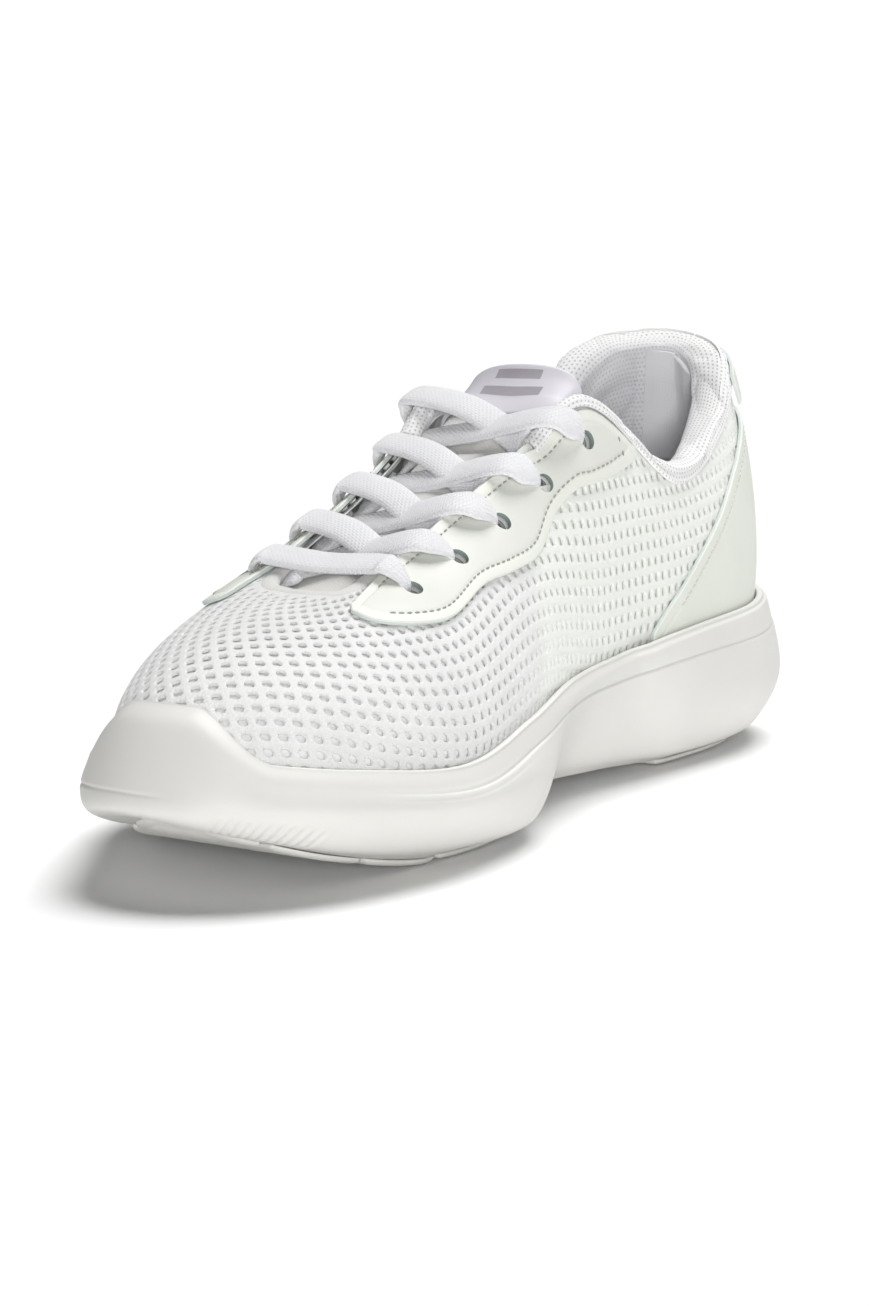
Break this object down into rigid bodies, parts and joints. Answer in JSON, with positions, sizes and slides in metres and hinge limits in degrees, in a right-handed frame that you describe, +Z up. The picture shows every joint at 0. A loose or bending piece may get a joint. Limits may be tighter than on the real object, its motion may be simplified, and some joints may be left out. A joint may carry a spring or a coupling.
{
  "type": "running shoe",
  "caption": "Right running shoe with a moulded foam sole, perforated mesh upper, laced throat, padded collar, loose tongue and lift-out insole.",
  "frame": {"origin": "on the ground under the middle of the sole's outline", "axes": "+X towards the toe, +Y towards the arch (medial) side, +Z up"},
  "size_m": [0.2914, 0.1102, 0.1137],
  "materials": {
    "foam_sole": "satin moulded EVA foam, warm off-white",
    "tread_rubber": "matt off-white rubber with fine ribs",
    "strobel_cloth": "stitched non-woven board",
    "insole_foam": "soft open-cell foam",
    "insole_cloth": "brushed knit",
    "air_mesh": "white spacer mesh with rows of rounded holes",
    "backing_knit": "light grey fine knit seen through the mesh",
    "stiffener": "thermoplastic sheet, hidden",
    "stay_leather": "smooth off-white synthetic leather with a pale green cut edge",
    "backer_tape": "reinforcing tape, hidden",
    "lining_knit": "grey-white perforated knit",
    "heel_grip_cloth": "smooth brushed lining",
    "padding_foam": "soft foam, hidden",
    "tongue_cloth": "soft crinkled cloth",
    "label_film": "smooth lilac-grey film with plain printed bars",
    "lace_braid": "flat white braid",
    "aglet_film": "clear-white film tip"
  },
  "bodies": {
    "shoe": {"midsole": "foam_sole", "outsole_toe": "tread_rubber", "outsole_forefoot_front": "tread_rubber", "outsole_forefoot_middle": "tread_rubber", "outsole_forefoot_rear": "tread_rubber", "outsole_heel_medial": "tread_rubber", "outsole_heel_lateral": "tread_rubber", "outsole_heel_rear": "tread_rubber", "strobel_board": "strobel_cloth", "upper_mesh": "air_mesh", "vamp_lining": "backing_knit", "toe_puff": "stiffener", "heel_counter": "stiffener", "eyestay_medial": "stay_leather", "eyestay_lateral": "stay_leather", "eyestay_backer_medial": "backer_tape", "eyestay_backer_lateral": "backer_tape", "collar_lining": "lining_knit", "heel_lining": "heel_grip_cloth", "collar_foam": "padding_foam", "heel_foxing": "stay_leather", "heel_tab": "stay_leather", "lace": "lace_braid", "aglet_medial": "aglet_film", "aglet_lateral": "aglet_film"},
    "tongue": {"tongue_outer": "tongue_cloth", "tongue_foam": "padding_foam", "tongue_lining": "lining_knit", "tongue_label": "label_film"},
    "insole": {"insole_foam": "insole_foam", "insole_cover": "insole_cloth"}
  },
  "joints": [
    {"name": "tongue_press", "type": "hinge", "parent": "shoe", "child": "tongue", "pos_m": [0.0763, 0, 0.061], "axis": [0, -1, 0], "range_deg": [0, 6], "stiffness_Nm_per_rad": 1, "springref_deg": -1.72},
    {"name": "insole_lift", "type": "hinge", "parent": "shoe", "child": "insole", "pos_m": [0.1333, 0, 0.0245], "axis": [0, 1, 0], "range_deg": [0, 4]}
  ]
}
